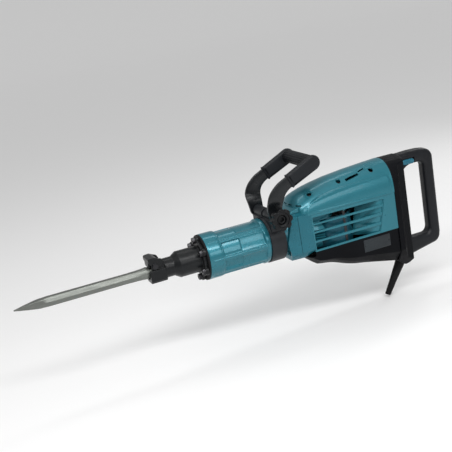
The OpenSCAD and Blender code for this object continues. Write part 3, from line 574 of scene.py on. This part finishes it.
def cowl_grid(rows, cols):
    """Points in mm of the cowl's outer skin, rows along it and cols across it."""
    d = np.r_[0, np.cumsum(np.linalg.norm(np.diff(COWL, axis=0), axis=1))]
    s = np.linspace(0, d[-1], 700)
    dense = np.stack([np.interp(s, d, COWL[:, i]) for i in range(3)], 1)
    for _ in range(60):
        dense[1:-1] = (dense[:-2] + 2 * dense[1:-1] + dense[2:]) / 4
    pick = np.stack([np.interp(np.linspace(0, d[-1], rows), s, dense[:, i]) for i in range(3)], 1)
    # each section is a superellipse with evenly spaced points
    a = np.linspace(0, math.pi, 900)
    k = 2 / POWER
    cy, sz = -np.sign(np.cos(a)) * np.abs(np.cos(a)) ** k, np.abs(np.sin(a)) ** k
    grid = np.zeros((rows, cols, 3))
    for i, (x, w, top) in enumerate(pick):
        y, z = w * cy, SEAM + (top - SEAM) * sz
        t = np.r_[0, np.cumsum(np.hypot(np.diff(y), np.diff(z)))]
        u = np.linspace(0, t[-1], cols)
        grid[i] = np.stack([np.full(cols, x), np.interp(u, t, y), np.interp(u, t, z)], 1)
    nrm = np.cross(np.gradient(grid, axis=1), np.gradient(grid, axis=0))
    nrm /= np.linalg.norm(nrm, axis=2, keepdims=True) + 1e-9
    if nrm[rows // 2, cols // 2, 2] < 0:
        nrm = -nrm
    relief = np.array([[cowl_relief(*p) for p in row] for row in grid])
    shift = np.array([[panel_shift(*p, w) for p in row] for row, w in zip(grid, pick[:, 1])])
    grid[:-1] += nrm[:-1] * smoothed(smoothed(relief))[:-1, :, None]
    grid[:-1, :, 1] += smoothed(smoothed(shift))[:-1]
    grid[:, 0, 2] = grid[:, -1, 2] = SEAM + 0.05
    return grid


def sloping_slot(side, x0, x1, z, height, rise, y0, y1):
    """A cutter that is a parallelogram seen from the side."""
    def edge(lift):
        return [(x0, side * y0, z + lift), (x0, side * y1, z + lift),
                (x1, side * y1, z + rise + lift), (x1, side * y0, z + rise + lift)]
    return hexahedron("slot", edge(0) + edge(height))


def build_cowl():
    rows, cols = 290, 210
    verts = [Vector(p) * 0.001 for p in cowl_grid(rows, cols).reshape(-1, 3)]
    faces = [(i * cols + j, (i + 1) * cols + j, (i + 1) * cols + j + 1, i * cols + j + 1)
             for i in range(rows - 1) for j in range(cols - 1)]
    o = clean(new_object("cowl_shell", verts, faces), 1e-6)
    wall = o.modifiers.new("wall", "SOLIDIFY")
    wall.thickness, wall.offset, wall.use_even_offset = COWL_WALL * 0.001, -1, True
    bake_modifiers(o)
    cutters, cups = [], []
    for side in (-1, 1):
        for x, z in COWL_SCREWS:
            at = (x, side * SCREW_Y)
            cutters.append(lathe("recess", [(z, 6.4), (z + 40, 6.4)], "Z", at, 40))
            cups.append(lathe("cup", [(z - 3, 7.5), (z, 7.5), (z + 0.01, 0.01)], "Z", at, 32))
        cutters += [sloping_slot(side, *slot) for slot in COWL_SLOTS]
        cutters += [side_box("slot", side, (278, 301), y, (73, 76)) for y in NOSE_SLOTS]
    cut(o, *cutters)
    dress(smooth_shade(clean(o, 1e-7), 38), "top_cowl")
    extra(join("cowl_screw_bosses", cups), "top_cowl", "cover_plastic")
    ledge = slab("cowl_ledge", [fillet([(266, 60.15), (269, 65.5), (292, 71.5), (292, 60.15)], 1.2)],
                 -50, 50, 1.0)
    extra(ledge, "top_cowl", "cover_plastic")


# ---------------------------------------------------------------- side covers
VENTS = [(-45, -26), (-21, -2), (3, 20), (24, 40)]
# front and rear end of the lowest vent, and how far the rear ends move back per mm of height
VENT_FRONT, VENT_REAR, VENT_SLANT, VENT_FOOT = 321, 504, 0.247, -49
# ranges in mm of the small keys under the ribs and of the upright bar behind them
KEY_X, KEY_Y, KEY_TOPS, KEY_HIGH = (410, 417), (54, 57.4), (-22, -2.2, 17.6, 38), 2.6
STRUT = ((411, 418), (46, 50), (-47, 42))


def slanted(z):
    """How far the slanted rear edge of the vents has moved back at height z."""
    return VENT_SLANT * (z - VENT_FOOT)


def slat_edge(x0, x1, y, thick, z0, z1):
    """Four corners of a slat's edge, at height z0 in front and z1 behind."""
    return [(x0, y, z0), (x0, y + thick, z0), (x1, y + thick, z1), (x1, y, z1)]


def build_vent_details(side, tag):
    node = "side_cover_" + tag

    def hexa(corners):
        return hexahedron("h", [(x, side * y, z) for x, y, z in corners])

    parts = [side_box("key", side, KEY_X, KEY_Y, (z - KEY_HIGH, z)) for z in KEY_TOPS]
    # a slanting tab and fine louvres at the front of the window
    parts.append(hexa(slat_edge(322, 353, 55, 2.8, 5, 3) + slat_edge(322, 349, 46, 2.8, 26, 19)))
    for i in range(4):
        z = -3.5 - 6.2 * i
        parts.append(hexa(slat_edge(322, 352, 55, 2.6, z, z - 2.5)
                          + slat_edge(322, 352, 48, 1.4, z + 4, z + 1.5)))
    inserts = clean(join("vent_insert_" + tag, parts))
    extra(smooth_shade(bevel(inserts, 0.3), 25), node, "cover_plastic")
    # curved ramp that brings the window back to the surface
    bow = [(VENT_REAR - 58 + 58 * k / 16, 24 + 35.5 * math.sin(k / 16 * math.pi / 2))
           for k in range(17)]
    back = [(x - 2.2, y - 2.6) for x, y in reversed(bow)]
    ramp = slab("vent_ramp_" + tag, [bow + back], -46.5, 41.5, 0.3, axis="Z", steps=1)
    bend_points(ramp, lambda x, y, z: (x + slanted(z), side * y, z))
    extra(smooth_shade(clean(ramp), 40), node, "cover_plastic")
    strut = side_box("vent_strut_" + tag, side, *STRUT)
    extra(bevel(strut, 0.8), node, "fan_plastic")


def build_side_covers():
    loops = [fillet([(317.2, 47.95), (317.2, -49.95), (561, -49.95), (561, 47.95)], 1.0)]
    for z0, z1 in VENTS:
        loops.append(fillet([(VENT_FRONT, z0), (VENT_FRONT, z1),
                             (VENT_REAR + slanted(z1), z1 - 2),
                             (VENT_REAR + slanted(z0), z0 + 1)], 1.5))
    near = slab("side_cover", loops, -62, -57.2, 0.9, steps=3)

    def groove_end(x, z):
        return [(x, -60.8, z), (x + 1.6, -60.8, z), (x + 1.6, -63, z), (x, -63, z)]

    cut(near, hexahedron("groove", groove_end(505, -50.2) + groove_end(527, 37)))
    smooth_shade(near, 38)
    far = mirrored(near, "side_cover_b")
    dress(near, "side_cover_near")
    dress(far, "side_cover_far")
    build_vent_details(-1, "near")
    build_vent_details(1, "far")


# ---------------------------------------------------------------- D-handle
# ranges of the slide switch's finger recess and its button
RECESS_X, RECESS_Z = (617.5, 659.5), (95.4, 113.6)
BUTTON_X, BUTTON_Z = (620.6, 656.3), (97.9, 111.1)


def build_handle():
    # finger side of the upper corner, a quarter circle
    corner = [(657 + 45 * math.cos(math.radians(t)), 50 + 45 * math.sin(math.radians(t)))
              for t in range(90, 181, 9)]
    outer = [(597, 128.5), (612, 129.5), (650, 131), (680, 130), (700, 127), (712, 120), (719, 108),
             (719, -108), (716, -124), (706, -136), (668, -143), (632, -150), (612, -155),
             (597, -157), (597, -104)]
    loop = fillet(outer, [0, 60, 60, 40, 25, 25, 30, 40, 20, 20, 40, 40, 0, 0, 0], 6)
    loop += fillet([(640, -104), (686, -104), (686, 95), (658, 95)], [0, 16, 12, 0], 6)
    loop += corner + [(611.9, 46), (597, 46)]
    o = slab("d_handle_shell", [loop], -18, 18, 12.5, steps=8)
    cut(o, box_mesh("parting_line", (590, -0.2, -170), (730, 0.2, 140)),
        side_box("recess", -1, RECESS_X, (13.8, 19), RECESS_Z),
        side_box("recess", 1, RECESS_X, (15.8, 19), RECESS_Z))
    dress(smooth_shade(o, 38), "handle_near", "handle_far")
    (x0, x1), (z0, z1) = BUTTON_X, BUTTON_Z
    button = slab("switch_button", [fillet([(x0, z0), (x1, z0), (x1, z1), (x0, z1)], 6.4, 8)],
                  -21, 12.5, 1.6)
    dress(button, "switch_slide")
    ribs = [bevel(box_mesh("rib", (632 + 4 * i, -21.5, 99.6), (633.4 + 4 * i, -20.6, 109.4)),
                  0.3) for i in range(4)]
    extra(join("switch_button_ribs", ribs), "switch_slide", "switch_plastic")
    bevelled("handle_screw_heads", "handle_screws", 0.3)


# ---------------------------------------------------------------- side handle
# centres of the clamp bolt and of the cross grip; the loop's upper run slants by so many degrees
PIVOT, GRIP, SLANT = (226, 66), (338, 180), 24
# radius of the arms' foot, and half width, thickness and corner radius of their flat bar
FOOT_R, BAR_HALF, BAR_THICK, BAR_SOFT = 18, 14.5, 8.0, 1.8
# distance of the foot from the middle plane, step of the joggle and its range of height
FOOT_Y, JOGGLE, JOGGLE_Z = 62.5, 9.5, (84, 112)


def on_run(s, t):
    """A point s mm along the upper run from the grip and t mm to its upper side."""
    a = math.radians(SLANT)
    return (GRIP[0] + s * math.cos(a) - t * math.sin(a),
            GRIP[1] + s * math.sin(a) + t * math.cos(a))


def even(points, n):
    """n evenly spaced points along a curve."""
    p = np.array(points)
    at = np.r_[0, np.cumsum(np.hypot(*np.diff(p, axis=0).T))]
    want = np.linspace(0, at[-1], n)
    return list(zip(np.interp(want, at, p[:, 0]), np.interp(want, at, p[:, 1])))


def arm_edges():
    """The flat bar as pairs of points on its two edges, from its round foot to its round end."""
    inner = even(spline([(244, 66), (243.6, 88), (246.5, 106), (255, 122),
                         on_run(-74, -BAR_HALF), on_run(0, -BAR_HALF)], 8), 64)
    outer = even(spline([(208, 66), (203.6, 100), (212, 126), (232, 146.5),
                         on_run(-82, BAR_HALF), on_run(0, BAR_HALF)], 8), 64)
    foot, end = [], []
    for k in range(1, 13):
        c, s = math.cos(math.radians(7 * k)), math.sin(math.radians(7 * k))
        low = PIVOT[1] - FOOT_R * s
        foot.insert(0, ((PIVOT[0] - FOOT_R * c, low), (PIVOT[0] + FOOT_R * c, low)))
        end.append((on_run(BAR_HALF * s, BAR_HALF * c), on_run(BAR_HALF * s, -BAR_HALF * c)))
    return foot + list(zip(outer, inner)) + end


def build_arms():
    steps, verts = 20, []
    for (x0, z0), (x1, z1) in arm_edges():
        half = math.hypot(x1 - x0, z1 - z0) / 2
        mid = Vector(((x0 + x1) / 2, (z0 + z1) / 2))
        across = Vector((x1 - x0, z1 - z0)) / (2 * half)
        r = min(BAR_SOFT, half * 0.8)
        for sx, sy, start in ((1, 1, 0), (-1, 1, 90), (-1, -1, 180), (1, -1, 270)):
            for k in range(steps // 4):
                t = math.radians(start + 22.5 * k)
                q = mid + across * (sx * (half - r) + r * math.cos(t))
                y = sy * (BAR_THICK / 2 - r) + r * math.sin(t)
                y -= FOOT_Y + JOGGLE * smooth_step(*JOGGLE_Z, q.y)
                verts.append(Vector((q.x, y, q.y)) * 0.001)
    near = capped_tube("arm", verts, steps, 40)
    pair = join("loop_arm_pair", [near, mirrored(near, "arm_b")])
    dress(smooth_shade(pair, 32), "loop_arms")


def build_sleeves():
    cap = [on_run(19.3 * math.cos(math.radians(t)), 19.3 * math.sin(math.radians(t)))
           for t in range(-90, 91, 9)]
    tail = fillet([on_run(-30, 18.9), on_run(-76, 18.2), on_run(-76, -18.2), on_run(-30, -18.9)],
                  [0, 3, 3, 0], 4)
    near = slab("sleeve", [cap + tail], -79.6, -64.4, 6.3, steps=6)
    lip_corners = [on_run(-72, 18.4), on_run(-77, 18.4), on_run(-77, -18.4), on_run(-72, -18.4)]
    lip = slab("lip", [fillet(lip_corners, 2.2, 4)], -79.4, -64.6, 2.4, steps=3)
    far, far_lip = mirrored(near, "sleeve_b"), mirrored(lip, "lip_b")
    dress(smooth_shade(join("arm_sleeve_pair", [near, far, lip, far_lip]), 40), "arm_sleeves")


def build_side_handle():
    build_arms()
    build_sleeves()
    ridges, loop = 18, []
    for i in range(ridges * 6):
        t = 2 * math.pi * i / (ridges * 6)
        r = 15.5 + 1.5 * min(1.0, max(0.0, 0.6 + 0.8 * math.cos(ridges * t)))
        loop.append((GRIP[0] + r * math.cos(t), GRIP[1] + r * math.sin(t)))
    dress(slab("cross_grip_rubber", [loop], -64.2, 64.2, 1.0, steps=3), "cross_grip")


def build_clamp():
    casting("clamp_band_casting", "clamp_band", 0.9, 4, 0.35)
    bevelled("clamp_bolt_body", "clamp_bolt", 0.5)
    lobes, loop = 8, []
    for i in range(192):
        t = 2 * math.pi * i / 192
        r = 28 - 4.4 * (0.5 - 0.5 * math.cos(lobes * t)) ** 2.2
        loop.append((PIVOT[0] + r * math.cos(t), PIVOT[1] + r * math.sin(t)))
    rim = slab("knob", [loop], -98, -82, 2.8, steps=5)
    hollow = [(-99.5, 19.0), (-95.4, 17.4), (-93.6, 12.6), (-85.0, 11.4)]
    cut(rim, lathe("hollow", hollow, "Y", PIVOT, 64))
    hub = slab("hub", [circle(*PIVOT, 13, 64), circle(*PIVOT, 6.06, 48)], -84, -67.2, 0.9)
    nut = slab("nut", [circle(*PIVOT, 10.6, 6, 0.3), circle(*PIVOT, 6.3, 40)], -91.5, -85.5, 0.8)
    dress(smooth_shade(join("clamp_knob_moulding", [rim, hub, nut]), 36), "clamp_knob")


# ---------------------------------------------------------------- front end
def soft_polygon(sides, start, power, t):
    """Radius at angle t of a polygon with rounded corners, 1 across its flats' radius."""
    total = sum(max(0.0, math.cos(t - math.radians(start + 360 * k / sides))) ** power
                for k in range(sides))
    return total ** (-1 / power)


# stations of the chisel: tip, end of the point, start of the flare, end of the flare
BIT_TIP, BIT_POINT, BIT_FLARE, BIT_NECK = -430, -350, -164, -107
# radius over the flats of the chisel's hexagon
BIT_FLAT = 11.5


def chisel_rows():
    """Rows of x, radius over the flats, square to hexagon 0..1, hexagon to round 0..1."""
    rows = []
    for i in range(25):
        t = i / 24
        rows.append((BIT_TIP + (BIT_POINT - BIT_TIP) * t,
                     1.0 + (BIT_FLAT - 1) * (1 - (1 - t) ** 1.35), smooth_step(0.72, 1.0, t), 0))
    rows += [(BIT_POINT + (BIT_FLARE - BIT_POINT) * i / 12, BIT_FLAT, 1, 0)
             for i in range(1, 13)]
    for i in range(1, 15):
        t = i / 14
        rows.append((BIT_FLARE + (BIT_NECK - BIT_FLARE) * t, BIT_FLAT + 3.6 * t ** 2.2, 1,
                     smooth_step(0.25, 1.0, t)))
    # round neck, collar and hexagonal shank inside the tool holder
    return rows + [(-104, 14.0, 1, 1), (-87.6, 14.0, 1, 1), (-87, 14.4, 1, 1), (-87, 16.4, 1, 1),
                   (-86.4, 17, 1, 1), (-81.6, 17, 1, 1), (-81, 16.4, 1, 1), (-81, 14.2, 1, 0.0),
                   (11, 14.2, 1, 0), (12, 13.2, 1, 0)]


def build_chisel():
    steps, rows = 96, chisel_rows()
    verts = []
    for x, r, hexed, round_ in rows:
        for i in range(steps):
            t = 2 * math.pi * i / steps
            flat = (1 - hexed) * soft_polygon(4, 0, 18, t) + hexed * soft_polygon(6, 30, 26, t)
            k = r * ((1 - round_) * flat + round_)
            verts.append(Vector((x, k * math.cos(t), k * math.sin(t))) * 0.001)
    last = len(rows) * steps
    faces = tube_faces(len(rows), steps) + [tuple(range(last - steps, last))]
    verts.append(Vector((BIT_TIP * 0.001, 0, 0)))
    faces += [(last, i, (i + 1) % steps) for i in range(steps)]
    dress(smooth_shade(clean(new_object("bull_point_steel", verts, faces)), 50), "bull_point")


def build_front():
    build_chisel()
    casting("tool_holder_casting", "tool_holder", 0.8, 3, 0.35)
    casting("retainer_claw", "tool_retainer", 0.7, 3, 0.4)
    bevelled("retainer_pin_heads", "retainer_pins", 0.7, 3)
    bevelled("flange_bolt_heads", "flange_bolts", 0.4)
    bevelled("flange_gasket_ring", "flange_gasket", 0.25)
    build_barrel()


# outer radius of the barrel and radius of its bore
BARREL_R, LINER_R = 58.0, 27.1
# pockets of the barrel: middle and half width in degrees from the top, depth in front
POCKETS = [(0, 36, 4.4), (67, 18.5, 5.6), (113, 17, 5.6), (180, 33, 4.6), (247, 17, 5.6),
           (293, 18.5, 5.6)]
# raised ribs between the pockets, in degrees from the top
RIBS = [42, 90.5, 140, 220, 269.5, 318]


def barrel_radius(x, deg):
    """Outer radius in mm of the cast barrel at x, deg degrees round from the top."""
    r = BARREL_R - 0.8 * smooth_step(73, 76, x) * (1 - smooth_step(190, 193, x))
    for rib in RIBS:
        off = abs((deg - rib + 180) % 360 - 180)
        ends = smooth_step(47, 50, x) * (1 - smooth_step(191, 194, x))
        r += 1.2 * ends * (1 - smooth_step(1.2, 2.6, off))
    for mid, half, depth in POCKETS:
        off = (deg - mid + 180) % 360 - 180
        if abs(off) >= half:
            continue
        down = off if mid < 180 else -off
        if mid in (0, 180):
            down = -abs(off)
        t = off / half
        chord = r * (1 - math.cos(math.radians(half)) / math.cos(math.radians(off)))
        flat = min(chord, 3.2) if mid in (0, 180) else chord
        # steep wall on the upper side, a wide sloping ledge on the lower side
        wall = smooth_step(0, 2.6, half + down) * smooth_step(0, 8.5 if mid % 180 else 3.0,
                                                               half - down)
        deep = wall * (depth + 0.35 * flat)
        scoop = 3.4 * (1 - t * t) ** 0.8 * smooth_step(0, 1.8, half - abs(off)) + 0.5 * flat
        front = smooth_step(77.6, 81.2, x) * (1 - smooth_step(188.5, 192.5, x))
        rear = smooth_step(124.4, 128.2, x)
        r -= front * (deep * (1 - rear) + scoop * rear)
    return r


def build_barrel():
    # rings stand close together where the relief steps, and wide apart between
    xs = [40, 40.4, 41.2, 46.5, 47.5, 48.5, 49.5, 51, 60, 68, 73, 74, 75, 76, 77]
    xs += [77.6 + 0.4 * i for i in range(11)] + list(range(84, 124, 5))
    xs += [124.2 + 0.4 * i for i in range(11)] + list(range(131, 188, 6))
    xs += [188.3 + 0.5 * i for i in range(12)] + [196, 200.6, 201.6, 202]
    chamfer = {40: 1.0, 40.4: 0.45, 201.6: 0.45, 202: 1.0}
    steps = 720
    rings = [(x, [barrel_radius(x, 360 * i / steps) - chamfer.get(x, 0) for i in range(steps)])
             for x in xs]
    rings += [(x, [LINER_R] * steps) for x in (202, 40)]
    verts = []
    for x, radii in rings:
        for i, r in enumerate(radii):
            t = 2 * math.pi * i / steps
            verts.append(Vector((x, -r * math.sin(t), r * math.cos(t))) * 0.001)
    o = new_object("barrel_casting", verts, tube_faces(len(rings), steps, closed=True))
    dress(smooth_shade(clean(o), 75), "barrel")


def build_middle():
    o = clean(from_node("gear_housing_casting", "gear_housing"), 1e-5, FLAT)
    bevel(o, 1.4, 3)
    for side in (-1, 1):
        cut(o, side_box("panel_line", side, (280.4, 281.6), (59.2, 62), (-57, 56)))
    dress(smooth_shade(o, 42), "gear_housing")
    bevelled("housing_bolt_heads", "housing_bolts", 0.4)

    def belly(x, y, z):
        """The soft wave along the bottom edge."""
        if z < -60:
            low = smooth_step(-60, -90, z) if z > -90 else 1.0
            z += 3.4 * low * math.exp(-((x - 368) / 26) ** 2)
            z -= 1.6 * low * math.exp(-((x - 428) / 30) ** 2)
        return x, y, z

    casting("lower_housing_shell", "lower_housing", 1.3, 6, 0.45, belly)
    bevelled("blank_plate", "name_plate", 0.3)


# top of the cord guard, its lean in degrees and the radius of its bore
GUARD_AT, GUARD_LEAN, GUARD_BORE = (586.5, 0, -171), 31.4, 5.2


def build_cord_guard():
    """A hollow tapered boot, leaning towards the chisel."""
    prof = [(14, 13), (6, 13), (2, 13.2), (0.5, 12.9)]
    for i in range(24):
        s = i / 23
        r = 12.7 - 2.9 * s / 0.49 if s < 0.49 else 9.8 - 2.0 * (s - 0.49) / 0.51
        prof.append((-2 - 86 * s, r))
    prof += [(-89.5, 7.9), (-91, 7.4), (-91, 5.6), (-90, GUARD_BORE), (14, GUARD_BORE)]
    verts, steps = [], 56
    turn = Matrix.Rotation(math.radians(GUARD_LEAN), 3, "Y")
    for a, r in prof:
        for i in range(steps):
            t = 2 * math.pi * i / steps
            p = turn @ Vector((r * math.cos(t), r * math.sin(t), a))
            verts.append((p + Vector(GUARD_AT)) * 0.001)
    o = new_object("cord_guard_boot", verts, tube_faces(len(prof), steps, closed=True))
    dress(smooth_shade(clean(o), 40), "cord_guard")


def build_rear():
    casting("rear_housing_shell", "rear_housing", 1.1, 4, 0.45)
    bevelled("rear_cover_plate", "rear_cover", 0.5)
    bevelled("indicator_lenses", "indicator_lamps", 0.3)
    bevelled("speed_dial_wheel", "speed_dial", 0.4)
    build_cord_guard()


# ---------------------------------------------------------------- stage, light, camera
def build_stage():
    low = cad_box[0][2] - 0.004
    # a level floor whose far side sweeps up on a wide curve, as (y, height) in metres
    far, radius = 12, 6
    sweep = [(-far, 0.0)] + [(far + radius * math.sin(math.radians(5 * k)),
                              radius - radius * math.cos(math.radians(5 * k)))
                             for k in range(15)]
    verts = [Vector((x, y, low + z)) for y, z in sweep for x in (-30, 30)]
    floor = new_object("floor", verts, [(2 * k, 2 * k + 1, 2 * k + 3, 2 * k + 2)
                                        for k in range(len(sweep) - 1)])
    floor.data.shade_smooth()
    mat = bpy.data.materials.new("pale_floor")
    mat.use_nodes = True
    sockets = mat.node_tree.nodes["Principled BSDF"].inputs
    sockets["Base Color"].default_value = (0.78, 0.78, 0.78, 1)
    sockets["Roughness"].default_value = 0.9
    sockets["Specular IOR Level"].default_value = 0.1
    sockets["Emission Color"].default_value = (1, 1, 1, 1)
    sockets["Emission Strength"].default_value = 0.10
    floor.data.materials.append(mat)
    world = bpy.data.worlds.new("studio")
    SCENE.world = world
    world.use_nodes = True
    bg = world.node_tree.nodes["Background"]
    bg.inputs["Color"].default_value = (1.0, 1.0, 1.0, 1)
    bg.inputs["Strength"].default_value = 0.38

    def aimed(name, kind, where, target, power):
        """A light at a place in metres that looks at the target."""
        li = bpy.data.lights.new(name, kind)
        li.energy = power
        o = bpy.data.objects.new(name, li)
        SCENE.collection.objects.link(o)
        o.location = where
        o.rotation_mode = "QUATERNION"
        o.rotation_quaternion = (Vector(target) - Vector(where)).to_track_quat("-Z", "Y")
        return li

    def softbox(name, where, target, size, power):
        li = aimed(name, "AREA", where, target, power)
        li.shape, li.size, li.size_y = "RECTANGLE", size[0], size[1]

    sky = aimed("soft_sky", "SUN", (-0.35, -0.6, 2.2), (0, 0, 0), 0.60)
    sky.angle = math.radians(70)
    softbox("top_softbox", (0.15, 0.75, 2.1), (0.25, 0, 0), (2.4, 0.35), 8)
    softbox("front_softbox", (-0.1, -1.15, 1.35), (0.2, 0, 0), (2.0, 0.35), 22)
    softbox("low_softbox", (0.75, -2.2, 0.85), (0.2, 0, 0), (1.5, 0.6), 10)
    softbox("rear_strip", (1.9, 0.9, 1.1), (0.5, 0, 0), (0.4, 1.4), 6)


# the camera's place in metres, and its yaw, pitch and roll in degrees
CAMERA_AT = (-0.53295, -1.9038, 0.62285)
CAMERA_ANGLES = (18.77, 15.6, -10.16)


def build_camera():
    yaw, pitch, roll = (math.radians(a) for a in CAMERA_ANGLES)
    fw = Vector((math.sin(yaw) * math.cos(pitch), math.cos(yaw) * math.cos(pitch),
                 -math.sin(pitch)))
    right = Vector((math.cos(yaw), -math.sin(yaw), 0))
    up = right.cross(fw)
    r = right * math.cos(roll) + up * math.sin(roll)
    u = -right * math.sin(roll) + up * math.cos(roll)
    cam = bpy.data.cameras.new("camera")
    cam.sensor_width, cam.lens = 36.0, 67.08
    cam.clip_start, cam.clip_end = 0.05, 60
    o = bpy.data.objects.new("camera", cam)
    SCENE.collection.objects.link(o)
    turned = Matrix((r, u, -fw)).transposed().to_4x4()
    o.matrix_world = Matrix.Translation(CAMERA_AT) @ turned
    SCENE.camera = o


for node_name, node in NODES.items():
    node.data.materials.clear()
    node.data.materials.append(FINISH[SLOT[node_name]])
build_front()
build_middle()
build_cowl()
bevelled("cowl_screw_heads", "cowl_screws", 0.3)
build_side_covers()
build_rear()
build_handle()
build_side_handle()
build_clamp()
build_stage()
build_camera()
SCENE.view_settings.view_transform = "Standard"
